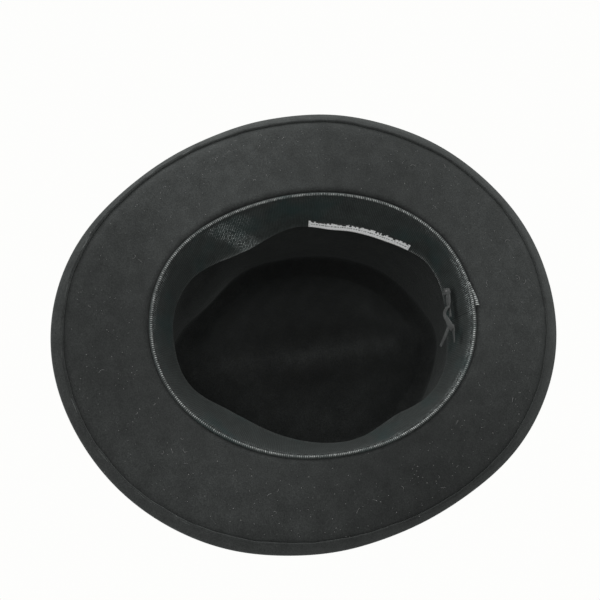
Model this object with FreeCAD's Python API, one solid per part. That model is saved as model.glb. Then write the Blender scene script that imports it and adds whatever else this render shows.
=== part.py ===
import FreeCAD, Part
import math, os

# Snap-brim felt hat with a centre-dent crown.  Millimetres.
# Frame: origin at the centre of the head opening, in the plane of the
# underside of the brim at its root.  +Z goes up into the crown, the front of
# the hat faces -Y, and the wearer's left is +X.
V = FreeCAD.Vector
os.makedirs("parts", exist_ok=True)

# ----------------------------------------------------------------- sizes
FELT_T = 2.0          # felt thickness
OVAL_MEAN = 91.4      # mean radius of the head opening
OVAL_LONG = 8.4       # cos(2a) term: 99.8 half length, 83.0 half width
OVAL_EGG = -0.36      # cos(3a) term: slightly narrower at the front
OVAL_SKEW = 0.5       # sin(3a) term: the felt's own slight lopsidedness
ROOT_R = 2.7          # fillet of the crown wall into the top of the brim
BRIM_S = 55.5         # length of the brim's underside, from the root fillet out
FLAT_S = 9.0          # flat strip of the underside beside the root
CROWN_H = 114.0       # top of the crown ridges, outside, at the front
CROWN_FALL = 8.0      # how much lower the ridges are at the back
END_DIP = 11.0        # how far the dent cuts into the front and back edges
END_WIDE = 17.0       # half width of that dip
CROWN_TAPER = 9.0     # how far the wall leans in at 100 mm up
SHOULDER_R = 12.0     # radius of the crown's upper edge
DENT_DEPTH = 27.0     # depth of the centre dent
DENT_X = -4.0         # it is creased a little off centre
PINCH_DEPTH = 10.0    # depth of the two front pinches
# A soft brim isn't cut or set quite evenly: extra reach of its edge by azimuth,
# as (mean, cos a, sin a, sin 2a, sin 3a).
BRIM_SET = (-1.8, -0.35, 1.6, 3.1, -1.05)
WELT_W = 8.5          # width of the turned-under edge
WELT_T = 1.6          # its thickness
WIRE_D = 1.0          # brim wire
TUNNEL = 1.15         # height of the fold's channel for the wire
BAND_T = 0.9          # sweatband ribbon
BAND_H = 30.0         # height of the sweatband's free edge
BAND_LEAN = 12.2      # how far its free edge stands in from the wall
HATBAND_T = 0.8       # outside ribbon
HATBAND_H = 36.0
SNAP_Y = -112.0       # line across the front brim where it snaps up and down
SNAP_Z = 1.0          # height of that line: middle of the felt
SNAP_UP = 25.0        # degrees
SNAP_DOWN = 12.0
GAP = 0.35            # half the slit along the snap line
FIT = 0.08            # clearance between layers that lie on each other
N = 72                # stations round the oval


# ------------------------------------------------------------ plan shapes
def oval(a):
    """Point of the head opening at azimuth a (0 = back, 90 deg = left)."""
    r = OVAL_MEAN + OVAL_LONG * math.cos(2 * a) + OVAL_EGG * math.cos(3 * a) \
        + OVAL_SKEW * math.sin(3 * a)
    return r * math.sin(a), r * math.cos(a)


def normal(a):
    """Outward plan normal of the head opening at azimuth a."""
    d = 1e-4
    x0, y0 = oval(a - d)
    x1, y1 = oval(a + d)
    tx, ty = x1 - x0, y1 - y0
    k = math.hypot(tx, ty)
    nx, ny = -ty / k, tx / k
    x, y = oval(a)
    if nx * x + ny * y < 0:
        nx, ny = -nx, -ny
    return nx, ny


def at(a, e, z):
    """Point at azimuth a, e outside the head opening, height z."""
    x, y = oval(a)
    nx, ny = normal(a)
    return V(x + nx * e, y + ny * e, z)


def smooth(t):
    t = max(0.0, min(1.0, t))
    return t * t * (3 - 2 * t)


def lerp3(front, side, back, a):
    """Value that goes from back (a=0) through side to front (a=pi)."""
    c = math.cos(a)
    if c >= 0:
        return side + (back - side) * c * c
    return side + (front - side) * c * c


# ---------------------------------------------------------- brim profile
def slope(s, a):
    """Rise of the brim, in radians, s along its underside from the root."""
    start = lerp3(-15.0, 2.0, 6.0, a)
    mid = lerp3(-9.0, 8.0, 17.0, a)
    edge = lerp3(28.0, 50.0, 46.0, a)
    k = smooth((s - FLAT_S) / 8.0)
    body = start + (mid - start) * smooth((s - FLAT_S) / 30.0)
    curl = (edge - mid) * smooth((s - (BRIM_S - 19.0)) / 19.0)
    return math.radians(k * body + curl)


def brim_set(a):
    m, c1, s1, s2, s3 = BRIM_SET
    return m + c1 * math.cos(a) + s1 * math.sin(a) + s2 * math.sin(2 * a) \
        + s3 * math.sin(3 * a)


_profiles = {}


def brim(a):
    """Table of (s, e, z, slope) along the underside at azimuth a."""
    key = round(a, 9)
    if key not in _profiles:
        e, z, rows, ds = ROOT_R + FELT_T, 0.0, [], 0.5
        n = int(BRIM_S / ds)
        for i in range(n + 1):
            s = i * ds
            rows.append((s, e, z, slope(s, a)))
            p = slope(s + ds / 2, a)
            e += math.cos(p) * ds
            z += math.sin(p) * ds
        _profiles[key] = rows
    return _profiles[key]


def under(a, s, n=0.0):
    """Point s along the brim's underside and n below it, square to it."""
    rows = brim(a)
    i = max(0, min(len(rows) - 2, int(s / 0.5)))
    s0, e0, z0, p0 = rows[i]
    s1, e1, z1, p1 = rows[i + 1]
    t = (s - s0) / (s1 - s0)
    e = e0 + (e1 - e0) * t + brim_set(a) * (max(0.0, s - FLAT_S) / (BRIM_S - FLAT_S)) ** 1.5
    z = z0 + (z1 - z0) * t
    p = p0 + (p1 - p0) * t
    return at(a, e + n * math.sin(p), z - n * math.cos(p))


# --------------------------------------------------------- crown surface
def wall_e(z):
    """Outside of the crown wall: offset from the head opening at height z."""
    return FELT_T - CROWN_TAPER * (max(0.0, z - 4.7) / 100.0) ** 1.25


def pinch(p):
    """The two shallow pinches at the front of the crown."""
    for side in (-1, 1):
        a = math.pi + side * math.radians(40.0)
        c = at(a, wall_e(88.0), 88.0)
        nx, ny = normal(a)
        d2 = (p - c).Length ** 2
        k = PINCH_DEPTH * math.exp(-d2 / (2 * 19.0 ** 2))
        p = V(p.x - nx * k, p.y - ny * k, p.z)
    return p


def shoulder(a):
    e = wall_e(CROWN_H - SHOULDER_R) - SHOULDER_R
    return at(a, e, CROWN_H)


def crest(x, y, t):
    """Height of the crown's top before the dent; t is 1 at its edge."""
    fall = CROWN_FALL * (1 + y / 90.0) / 2
    dip = END_DIP * math.exp(-(x / END_WIDE) ** 2) * t ** 4
    return CROWN_H - fall - dip


TOP_A = abs(shoulder(0.0).y)
TOP_B = abs(shoulder(math.pi / 2).x)


def dent(x, y):
    """Depth of the crown's centre dent under the ridges."""
    yy = min(1.0, abs(y) / TOP_A)
    half = TOP_B * math.sqrt(max(0.02, 1 - yy * yy))
    cx = DENT_X * (1 - yy * yy)
    half += cx if x < cx else -cx
    q = min(1.0, math.sqrt((x - cx) ** 2 + 5.0 ** 2) / half)
    ends = 1 - smooth((yy - 0.45) / 0.55)
    return DENT_DEPTH * (1 - q * q) ** 1.35 * (0.3 + 0.7 * ends) * (1 - yy ** 8)


def shoulder_true(a):
    """Start of the rounded upper edge at azimuth a, dip included."""
    p = shoulder(a)
    h = crest(p.x, p.y, min(1.0, abs(p.y) / TOP_A))
    return at(a, wall_e(h - SHOULDER_R) - SHOULDER_R, h)


T_RINGS = [0.05, 0.10, 0.16, 0.24, 0.33, 0.43, 0.54, 0.65, 0.76, 0.86, 0.94]


def outer_rings():
    """Rings of points of the hat's upper and outer surface, top to edge."""
    rings = []
    az = [2 * math.pi * i / N for i in range(N)]
    flat = crest(0.0, 0.0, 0.0) - dent(0.0, 0.0)
    for i, t in enumerate(T_RINGS):
        ring = []
        for a in az:
            s = shoulder_true(a)
            x, y = s.x * t, s.y * t
            k = (abs(y) / TOP_A)
            z = flat if i == 0 else crest(x, y, k) - dent(x, y)
            ring.append(pinch(V(x, y, z)) if i > 4 else V(x, y, z))
        rings.append(ring)
    tops = []
    for a in az:
        p = shoulder(a)
        tops.append(crest(p.x, p.y, min(1.0, abs(p.y) / TOP_A)) - SHOULDER_R)
    for g in (90, 68, 45, 22, 0):
        c, s = math.cos(math.radians(g)), math.sin(math.radians(g))
        rings.append([pinch(at(a, wall_e(h) - SHOULDER_R * (1 - c),
                               h + SHOULDER_R * s)) for a, h in zip(az, tops)])
    for f in (0.86, 0.7, 0.55, 0.41, 0.28, 0.15, 0.0):
        rings.append([pinch(at(a, wall_e(9 + (h - 9) * f), 9 + (h - 9) * f))
                      for a, h in zip(az, tops)])
    for g in (0, 30, 60, 90):
        c, s = math.cos(math.radians(g)), math.sin(math.radians(g))
        e = FELT_T + ROOT_R - ROOT_R * c
        z = FELT_T + ROOT_R - ROOT_R * s
        rings.append([at(a, e, z) for a in az])
    for s in BRIM_STATIONS:
        rings.append([under(a, s, -FELT_T) for a in az])
    return rings


FELT_END = BRIM_S - 1.6
BRIM_STATIONS = [3, 6, 9, 12, 16, 21, 26, 31, 36, 40, 44, 47.5, 51, FELT_END]


def inner_rings(outer):
    """The same surface, one felt thickness further in and down."""
    rings = []
    az = [2 * math.pi * i / N for i in range(N)]
    crown = len(T_RINGS) + 5 + 7
    for k in range(crown):
        ring = []
        for i in range(N):
            if k == 0:
                p = outer[0][i]
                ring.append(V(p.x, p.y, outer[0][0].z - FELT_T))
                continue
            du = outer[k][(i + 1) % N] - outer[k][i - 1]
            dv = outer[k + 1][i] - outer[k - 1][i]
            n = du.cross(dv)
            n.normalize()
            # turn it towards the inside of the crown
            p = outer[k][i]
            if n.dot(V(p.x, p.y, 60.0 if k > 10 else 400.0)) > 0:
                n = n * -1
            ring.append(p + n * FELT_T)
        rings.append(ring)
    R = ROOT_R + FELT_T
    for g in (0, 30, 60, 75, 90):
        c, s = math.cos(math.radians(g)), math.sin(math.radians(g))
        rings.append([at(a, R - R * c, R - R * s) for a in az])
    # the seat between these two skins is a plane, so it has no rings
    brim_rings = [[under(a, s) for a in az]
                  for s in [FLAT_S] + [s for s in BRIM_STATIONS if s > FLAT_S]]
    return rings, brim_rings


# ------------------------------------------------------------ solid tools
def closed_edge(points):
    c = Part.BSplineCurve()
    n = len(points)
    c.interpolate(Points=points, PeriodicFlag=True,
                  Parameters=[i / n for i in range(n + 1)])
    return c.toShape()


def open_edge(points):
    if len(points) == 2:
        return Part.makeLine(points[0], points[1])
    c = Part.BSplineCurve()
    n = len(points) - 1
    c.interpolate(Points=points, Parameters=[i / n for i in range(n + 1)])
    return c.toShape()


def to_solid(faces, name):
    shell = Part.makeShell(faces)
    shell.sewShape()
    if shell.ShapeType != "Shell":
        shell = shell.Shells[0]
    s = Part.makeSolid(shell)
    if s.Volume < 0:
        s.reverse()
    if not s.isValid():
        s.fix(0.001, 0.001, 0.01)
    if not s.isValid() or not s.isClosed():
        raise ValueError("bad solid " + name)
    return s


def ring_solid(loops, name):
    """Closed band round the hat: loops are the corners of its section."""
    edges = [closed_edge(l) for l in loops]
    k = len(edges)
    faces = [Part.makeRuledSurface(edges[i], edges[(i + 1) % k]) for i in range(k)]
    return to_solid(faces, name)


def strip_solid(lines, name):
    """Open strip: lines are the corners of its section, end to end."""
    edges = [open_edge(l) for l in lines]
    k = len(edges)
    faces = [Part.makeRuledSurface(edges[i], edges[(i + 1) % k]) for i in range(k)]
    for j in (0, -1):
        w = Part.makePolygon([l[j] for l in lines] + [lines[0][j]])
        try:
            faces.append(Part.Face(w))
        except Exception:
            faces.append(Part.makeRuledSurface(
                Part.makeLine(lines[0][j], lines[1][j]),
                Part.makeLine(lines[3][j], lines[2][j])))
    return to_solid(faces, name)


def thread(p0, p1, d):
    """A stitch: a short round thread."""
    v = p1 - p0
    return Part.makeCylinder(d / 2, v.Length, p0, v)


def prism_x(pts, half=220.0):
    """Solid of constant section across the hat; pts are (y, z)."""
    w = Part.makePolygon([V(-half, y, z) for y, z in pts + pts[:1]])
    return Part.Face(w).extrude(V(2 * half, 0, 0))


def save(name, shape):
    if isinstance(shape, list):
        shape = Part.makeCompound(shape)
    if not shape.Solids or not shape.isValid() or shape.Volume <= 0:
        raise ValueError("empty or broken piece " + name)
    shape.exportStep("parts/%s.step" % name)
    bb = shape.BoundBox
    print("%-26s vol %9.1f  x %7.1f %7.1f  y %7.1f %7.1f  z %7.1f %7.1f  %s" % (
        name, shape.Volume, bb.XMin, bb.XMax, bb.YMin, bb.YMax, bb.ZMin,
        bb.ZMax, shape.isValid()))


AZ = [2 * math.pi * i / N for i in range(N)]

# -------------------------------------------------------------- the felt
outer = outer_rings()
inner, below = inner_rings(outer)


def skin(rings):
    edges = [closed_edge(r) for r in rings]
    loft = Part.makeLoft([Part.Wire([e]) for e in edges], False, False, False)
    return loft.Faces, edges


f_out, e_out = skin(outer)
f_in, e_in = skin(inner)
f_low, e_low = skin(below)
cap_out = Part.Face(Part.Wire([e_out[0]]))
cap_in = Part.Face(Part.Wire([e_in[0]]))
rim = Part.makeRuledSurface(e_out[-1], e_low[-1])
# flat seat: a true plane round the head opening, under the brim
seat = Part.Face([Part.Wire([e_low[0]]), Part.Wire([e_in[-1]])])
if not seat.isValid():
    seat.validate()
felt = to_solid(f_out + f_in + [seat] + f_low + [cap_out, cap_in, rim], "felt")
print("felt", felt.isValid(), felt.Volume, "seat", seat.isValid(), seat.Area)


# ------------------------------------------------- the snap line cuts
def rear_half(shape):
    g, z = GAP, SNAP_Z
    k = math.tan(math.radians(SNAP_UP / 2))
    d = math.tan(math.radians(SNAP_DOWN / 2))
    cut = prism_x([(SNAP_Y + g, z), (SNAP_Y + g + 18 * k, z + 18),
                   (-200, z + 18), (-200, z - 20), (SNAP_Y + g + 20 * d, z - 20)])
    return shape.cut(cut)


def front_half(shape):
    g, z = GAP, SNAP_Z
    k = math.tan(math.radians(SNAP_UP / 2))
    d = math.tan(math.radians(SNAP_DOWN / 2))
    keep = prism_x([(SNAP_Y - g, z), (SNAP_Y - g - 18 * k, z + 18),
                    (-200, z + 18), (-200, z - 20), (SNAP_Y - g - 20 * d, z - 20)])
    return shape.common(keep)


print("felt seat", felt.isValid(), felt.Volume, len(felt.Solids))
felt_body = rear_half(felt)
brim_front = front_half(felt)
print("split", len(felt_body.Solids), len(brim_front.Solids))
save("felt_body", felt_body)
save("brim_front", brim_front)

# ------------------------------------------- turned-under edge and wire
S = BRIM_S
LIE = 0.25            # it lies on a curved surface, in straight steps
WELT = [(S - WELT_W, LIE), (S - 6.0, LIE), (S - 3.5, LIE),
        (S - 3.4, TUNNEL + 0.05),
        (S - 1.40, TUNNEL + 0.05), (S - 1.40, -FELT_T + 0.25),
        (S - 0.85, -FELT_T), (S - 0.15, -0.9), (S, 0.6), (S - 0.25, 2.0),
        (S - 1.0, TUNNEL + WELT_T), (S - 3.4, TUNNEL + WELT_T),
        (S - 5.0, LIE + WELT_T + 0.18), (S - WELT_W + 0.6, LIE + WELT_T),
        (S - WELT_W, 1.05)]
welt = ring_solid([[under(a, s, n) for a in AZ] for s, n in WELT], "welt")
save("brim_welt_rear", rear_half(welt))
save("brim_welt_front", front_half(welt))

WIRE_S, WIRE_N = S - 2.46, 0.60
loops = []
for j in range(12):
    b = 2 * math.pi * j / 12
    loops.append([under(a, WIRE_S + WIRE_D / 2 * math.cos(b),
                        WIRE_N + WIRE_D / 2 * math.sin(b)) for a in AZ])
wire = ring_solid(loops, "wire")
save("brim_wire_rear", rear_half(wire))
save("brim_wire_front", front_half(wire))


# ------------------------------------------------------------ sweatband
# It is sewn at its folded lower edge only, so its free edge leans inwards.
BAND_Z = [1.1, 5.0, 16.0, BAND_H]


def lean(z):
    return -0.18 - BAND_LEAN * max(0.0, (z - 2.0) / (BAND_H - 2.0)) ** 1.15


def band_out(z):
    """Back of the sweatband: offset from the head opening at height z."""
    for z0, z1 in zip(BAND_Z, BAND_Z[1:]):
        if z <= z1:
            return lean(z0) + (lean(z1) - lean(z0)) * (z - z0) / (z1 - z0)
    return lean(z)


def band_in(z):
    return band_out(z) - BAND_T


H = BAND_H
SECT = [(band_out(5), 5.0), (band_out(16), 16.0), (band_out(H), H),
        (band_in(H), H), (band_in(16), 16.0), (band_in(5), 5.0),
        (band_in(1.1), 1.1), (-0.75, 0.25), (0.1, 0.03), (0.95, 0.2),
        (1.15, 0.9), (0.5, 2.0), (-0.05, 3.2)]
save("sweatband", ring_solid([[at(a, e, z) for a in AZ] for e, z in SECT],
                             "sweatband"))

stitches = []
COUNT = 84
ST_E, ST_Z = -1.20, 0.56       # just inside the fold
for i in range(COUNT):
    a0 = 2 * math.pi * i / COUNT
    a1 = a0 + 2 * math.pi / COUNT * 0.5
    stitches.append(thread(at(a0, ST_E, ST_Z), at(a1, ST_E, ST_Z), 0.45))
save("sweatband_stitches", stitches)

# lapped joint of the sweatband, at the back
JOIN_A = 0.0
lap = []
JW = math.radians(3.6)
for (e0, z) in ((-0.08, 1.6), (-0.08, 5.0), (-0.08, 16.0), (-0.08, 29.4),
                (-0.78, 29.4), (-0.78, 16.0), (-0.78, 5.0), (-0.78, 1.6)):
    lap.append([at(JOIN_A - JW + 2 * JW * i / 6, band_in(z) + e0, z)
                for i in range(7)])


def strip6(lines, name):
    edges = [open_edge(l) for l in lines]
    k = len(edges)
    faces = [Part.makeRuledSurface(edges[i], edges[(i + 1) % k]) for i in range(k)]
    for j in (0, -1):
        p = [l[j] for l in lines]
        n = len(p) // 2
        for i in range(n - 1):
            q = [p[i], p[i + 1], p[2 * n - 2 - i], p[2 * n - 1 - i]]
            faces.append(Part.makeRuledSurface(Part.makeLine(q[0], q[1]),
                                               Part.makeLine(q[3], q[2])))
    return to_solid(faces, name)


save("sweatband_lap", strip6(lap, "lap"))
lap_st = []
for k in range(6):
    z = 5.0 + 3.9 * k
    lap_st.append(thread(at(JOIN_A - 0.008, band_in(z) - 1.2, z),
                         at(JOIN_A + 0.008, band_in(z + 2.2) - 1.2, z + 2.2), 0.5))
save("sweatband_lap_stitches", lap_st)

# ----------------------------------------------------------------- label
L0, L1 = math.radians(32.5), math.radians(82.0)
LZ0, LZ1 = 23.4, 29.2
lab = []
for (e0, z) in ((-0.08, LZ0), (-0.08, LZ1), (-0.43, LZ1), (-0.43, LZ0)):
    lab.append([at(L0 + (L1 - L0) * i / 16, band_in(z) + e0, z) for i in range(17)])
save("label", strip_solid(lab, "label"))
ls = []
for i in range(12):
    for z in (LZ0 + 0.9, LZ1 - 0.9):
        a = L0 + (L1 - L0) * (i + 0.5) / 12
        e = band_in(z) - 0.43 - 0.16
        ls.append(thread(at(a - 0.012, e, z), at(a + 0.012, e, z), 0.2))
save("label_stitches", ls)

# ------------------------------------------------------ outside hat band
HB0, HB1 = 5.2, 5.2 + HATBAND_H
zs = [HB0 + HATBAND_H * i / 4 for i in range(5)]
hb = [(wall_e(z) + 0.15, z) for z in zs] + \
     [(wall_e(z) + 0.15 + HATBAND_T, z) for z in reversed(zs)]
save("hat_band", ring_solid([[at(a, e, z) for a in AZ] for e, z in hb], "hat band"))


def plate(a0, a1, e0, t, z0, z1, name, n=12, bulge=0.0):
    """Ribbon patch on the hat band, between azimuths a0 and a1 (degrees)."""
    a0, a1 = math.radians(a0), math.radians(a1)
    lines = []
    zz = [z0 + (z1 - z0) * i / 3 for i in range(4)]
    for (sign, e) in ((1, e0), (-1, e0 + t)):
        for z in (zz if sign == 1 else zz[::-1]):
            row = []
            for i in range(n + 1):
                u = i / n
                b = bulge * math.sin(math.pi * u) if sign == -1 else 0.0
                row.append(at(a0 + (a1 - a0) * u,
                              wall_e(z) + 0.15 + HATBAND_T + e + b, z))
            lines.append(row)
    return strip6(lines, name)


save("hat_band_bow_tail", plate(60, 88, 0.12, 0.8, 6.4, 40.0, "tail"))
save("hat_band_bow_back_loop", plate(70, 111, 1.04, 1.5, 6.8, 39.6, "bl", 14, 0.8))
save("hat_band_bow_front_loop",
     [plate(75, 85.6, 3.42, 1.5, 7.4, 39.0, "fl", 8, 0.8),
      plate(94.4, 105, 3.42, 1.5, 7.4, 39.0, "fr", 8, 0.8)])
save("hat_band_bow_knot", plate(86.0, 94.0, 3.42, 2.6, 5.6, 40.8, "kn", 8, 0.5))
tk = []
for deg in (15, 50, 130, 165, 195, 230, 265, 300, 340):
    for z in (HB1 - 1.2,):
        a = math.radians(deg)
        e = wall_e(z) + 0.15 + HATBAND_T + 0.26
        tk.append(thread(at(a, e, z), at(a + 0.02, e, z), 0.35))
save("hat_band_tacks", tk)

# --------------------------------------------- small bow inside the back
# It lies against the sweatband's leaning face.  T runs along the face, W up
# it and Q square to it, into the crown; the tack stands along Q.
TACK_A, TACK_Z = math.radians(7.7), 18.0
FAR_A = math.radians(-14.2)
P0 = at(TACK_A, band_in(TACK_Z), TACK_Z)
T = at(FAR_A, band_in(TACK_Z + 1), TACK_Z + 1) - P0
T.normalize()
W = at(TACK_A, band_in(TACK_Z + 5), TACK_Z + 5) \
    - at(TACK_A, band_in(TACK_Z - 5), TACK_Z - 5)
W = W - T * W.dot(T)
W.normalize()
Q = T.cross(W)
if Q.y > 0:
    Q = Q * -1
print("bow tack at", [round(c, 4) for c in (P0 + Q * 1.5)], "axis", [round(c, 5) for c in Q])


def loc(t, w, q):
    return P0 + T * t + W * w + Q * q


def flat_piece(pts, q0, thick):
    """Flat piece of ribbon: outline (t, w), from q0 out by thick."""
    wire = Part.makePolygon([loc(t, w, q0) for t, w in pts + pts[:1]])
    return Part.Face(wire).extrude(Q * thick)


def ribbon(path, width, q0, thick):
    left, right = [], []
    for i, (x, z) in enumerate(path):
        x0, z0 = path[max(0, i - 1)]
        x1, z1 = path[min(len(path) - 1, i + 1)]
        dx, dz = x1 - x0, z1 - z0
        k = math.hypot(dx, dz)
        left.append((x - dz / k * width / 2, z + dx / k * width / 2))
        right.append((x + dz / k * width / 2, z - dx / k * width / 2))
    return flat_piece(left + right[::-1], q0, thick)


BQ = 1.6                     # stands clear of the curved ribbon behind it
tab = flat_piece([(-2.6, 2.6), (-1.4, -2.5), (1.7, -3.7), (1.5, 4.2)], BQ, 0.7)
tab = tab.cut(Part.makeCylinder(0.45, 4, loc(0, 0, 0), Q))
save("back_bow_tab", tab)
loopa = ribbon([(1.0, 2.6), (4.0, 2.0), (7.5, 1.6), (10.9, 2.3)], 2.2, BQ + 0.8, 0.6)
loopb = ribbon([(1.0, -1.8), (4.0, -0.2), (7.3, -0.6), (10.9, 0.6)], 2.0, BQ + 1.5, 0.6)
save("back_bow_loops", [loopa, loopb])
save("back_bow_knot", Part.makeSphere(1.8, loc(13.8, 2.6, BQ + 1.2)))
taila = ribbon([(16.2, 3.0), (20.0, 1.6), (24.0, 2.2), (28.8, 6.6), (33.2, 11.0)], 2.1,
               BQ + 0.8, 0.6)
tailb = ribbon([(16.2, 1.4), (20.5, -0.9), (24.5, -2.6), (28.5, -3.4), (33.3, -3.4)], 2.6,
               BQ + 1.5, 0.6)
save("back_bow_tails", [taila, tailb])
tack = Part.makeCylinder(0.40, BQ + 1.2, loc(0, 0, 0.1), Q)
tack = tack.fuse(Part.makeSphere(0.7, loc(0, 0, BQ + 1.8)))
save("back_bow_tack", tack)
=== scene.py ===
import bpy
import math
import numpy as np
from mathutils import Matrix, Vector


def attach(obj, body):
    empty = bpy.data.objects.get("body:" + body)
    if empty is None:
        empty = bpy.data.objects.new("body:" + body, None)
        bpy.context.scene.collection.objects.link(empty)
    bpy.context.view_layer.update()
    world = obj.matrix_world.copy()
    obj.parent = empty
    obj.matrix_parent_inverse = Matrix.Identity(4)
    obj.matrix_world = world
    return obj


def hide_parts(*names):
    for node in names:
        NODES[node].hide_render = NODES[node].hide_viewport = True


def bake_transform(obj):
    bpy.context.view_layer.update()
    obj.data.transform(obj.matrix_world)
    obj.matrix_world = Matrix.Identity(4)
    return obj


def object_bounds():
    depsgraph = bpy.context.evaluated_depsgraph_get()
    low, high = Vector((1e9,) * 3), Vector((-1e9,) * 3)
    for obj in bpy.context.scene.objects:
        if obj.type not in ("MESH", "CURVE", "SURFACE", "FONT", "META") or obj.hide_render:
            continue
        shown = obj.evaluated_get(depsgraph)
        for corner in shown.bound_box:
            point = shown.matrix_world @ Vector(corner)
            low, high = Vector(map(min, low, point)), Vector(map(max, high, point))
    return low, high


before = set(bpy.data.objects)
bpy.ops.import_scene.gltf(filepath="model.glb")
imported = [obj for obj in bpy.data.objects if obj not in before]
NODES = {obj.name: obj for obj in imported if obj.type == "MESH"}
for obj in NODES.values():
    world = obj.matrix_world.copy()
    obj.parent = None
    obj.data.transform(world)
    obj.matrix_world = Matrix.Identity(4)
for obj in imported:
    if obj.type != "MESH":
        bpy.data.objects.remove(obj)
CAD_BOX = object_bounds()
rng = np.random.default_rng(11)
PI = math.pi

# --------------------------------------------------------------- hat shape
# Millimetres here; meshes are written in metres.  Azimuth a: 0 = back, 90
# degrees = the wearer's left.
FELT_T, ROOT_R, S, FLAT_S = 2.0, 2.7, 55.5, 9.0
CROWN_H, SHOULDER_R = 114.0, 12.0


def oval(a):
    r = 91.4 + 8.4 * np.cos(2 * a) - 0.36 * np.cos(3 * a) + 0.5 * np.sin(3 * a)
    return r * np.sin(a), r * np.cos(a)


def normal(a):
    r = 91.4 + 8.4 * np.cos(2 * a) - 0.36 * np.cos(3 * a) + 0.5 * np.sin(3 * a)
    d = -16.8 * np.sin(2 * a) + 1.08 * np.sin(3 * a) + 1.5 * np.cos(3 * a)
    tx, ty = d * np.sin(a) + r * np.cos(a), d * np.cos(a) - r * np.sin(a)
    k = np.hypot(tx, ty)
    return -ty / k, tx / k


def at(a, e, z):
    a, e, z = np.broadcast_arrays(np.asarray(a, float), e, z)
    x, y = oval(a)
    nx, ny = normal(a)
    return np.stack([x + nx * e, y + ny * e, z], -1)


def smooth(t):
    t = np.clip(t, 0, 1)
    return t * t * (3 - 2 * t)


def lerp3(front, side, back, a):
    c = np.cos(a)
    return np.where(c >= 0, side + (back - side) * c * c, side + (front - side) * c * c)


def slope(s, a):
    start = lerp3(-15.0, 2.0, 6.0, a)
    mid = lerp3(-9.0, 8.0, 17.0, a)
    edge = lerp3(28.0, 50.0, 46.0, a)
    k = smooth((s - FLAT_S) / 8.0)
    body = start + (mid - start) * smooth((s - FLAT_S) / 30.0)
    curl = (edge - mid) * smooth((s - (S - 19.0)) / 19.0)
    return np.radians(k * body + curl)


def brim_set(a):
    return -1.8 - 0.35 * np.cos(a) + 1.6 * np.sin(a) + 3.1 * np.sin(2 * a) \
        - 1.05 * np.sin(3 * a)


# how a soft brim really lies: extra reach of its edge, and of the fold of the
# sweatband, in mm every 10 degrees from the back
REACH = [-0.99, -1.06, -1.79, -2.13, -2.32, -1.89, -1.19, -1.4, -1.2, -0.86, -0.57, -0.7, -2.1,
         -3.4, -3.2, -2.31, -0.8, 0.68, 0.67, -0.34, -0.99, -1.21, -1.23, -0.76, 0.0, 0.79, 0.74,
         0.4, -0.14, -1.47, -2.36, -2.3, -1.32, 0.03, 0.62, -0.19]
SETTLE = [-0.48, -0.32, -0.33, -0.17, -0.69, -0.7, -1.05, -1.04, -0.68, -0.68, -1.17, -1.17, -1.33,
          -0.66, -0.48, 0.16, 0, -0.5, -0.6, -0.3, 0.2, -0.3, -0.6, -0.3, 0.3, 0.35, 0.35, 0.35,
          0.35, 0.35, 0.3, 0.35, 0.35, 0.35, 0.15, 0.16]


def by_azimuth(table, a):
    """Smooth value of a table given every 10 degrees."""
    c = np.fft.rfft(np.array(table))
    c[9:] = 0
    a = np.asarray(a, float)
    out = np.full(a.shape, c[0].real / 36)
    for k in range(1, 9):
        out = out + 2 / 36 * (c[k].real * np.cos(k * a) - c[k].imag * np.sin(k * a))
    return out


class Brim:
    """The brim's underside at every station of an array of azimuths."""

    def __init__(self, a):
        self.a, self.ds = a, 0.25
        n = int(S / self.ds)
        e, z = np.full(a.shape, ROOT_R + FELT_T), np.zeros(a.shape)
        self.e, self.z = [e], [z]
        for i in range(n):
            p = slope((i + 0.5) * self.ds, a)
            e, z = e + np.cos(p) * self.ds, z + np.sin(p) * self.ds
            self.e.append(e)
            self.z.append(z)
        self.e, self.z = np.array(self.e), np.array(self.z)
        self.n = n

    def at(self, s, n):
        s = np.broadcast_to(np.asarray(s, float), self.a.shape)
        k = np.clip(s / self.ds, 0, self.n - 1e-6)
        i = k.astype(int)
        t = k - i
        j = np.arange(len(self.a))
        e = self.e[i, j] * (1 - t) + self.e[i + 1, j] * t
        z = self.z[i, j] * (1 - t) + self.z[i + 1, j] * t
        e = e + (brim_set(self.a) + by_azimuth(REACH, self.a)) \
            * (np.maximum(0, s - FLAT_S) / (S - FLAT_S)) ** 1.5
        p = slope(s, self.a)
        # slow unevenness of a soft brim
        w = 0.35 * (s / S) ** 2 * (np.sin(5 * self.a + 0.6) + 0.6 * np.sin(8 * self.a + 2.1)
                                   + 0.4 * np.sin(13 * self.a + 4.0))
        n = n + w
        return at(self.a, e + n * np.sin(p), z - n * np.cos(p))


def wall_e(z):
    return FELT_T - 9.0 * (np.maximum(0.0, z - 4.7) / 100.0) ** 1.25


def pinch(P):
    for side in (-1, 1):
        a = np.array(PI + side * math.radians(40.0))
        c = at(a, wall_e(88.0), 88.0)
        nx, ny = normal(a)
        k = 10.0 * np.exp(-((P - c) ** 2).sum(-1) / (2 * 19.0 ** 2))
        P = P - k[..., None] * np.array([float(nx), float(ny), 0.0])
    return P


def shoulder(a):
    return at(a, wall_e(CROWN_H - SHOULDER_R) - SHOULDER_R, CROWN_H)


TOP_A = abs(float(shoulder(np.array(0.0))[1]))
TOP_B = abs(float(shoulder(np.array(PI / 2))[0]))


def crest(x, y, t):
    return CROWN_H - 8.0 * (1 + y / 90.0) / 2 - 11.0 * np.exp(-(x / 17.0) ** 2) * t ** 4


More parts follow.
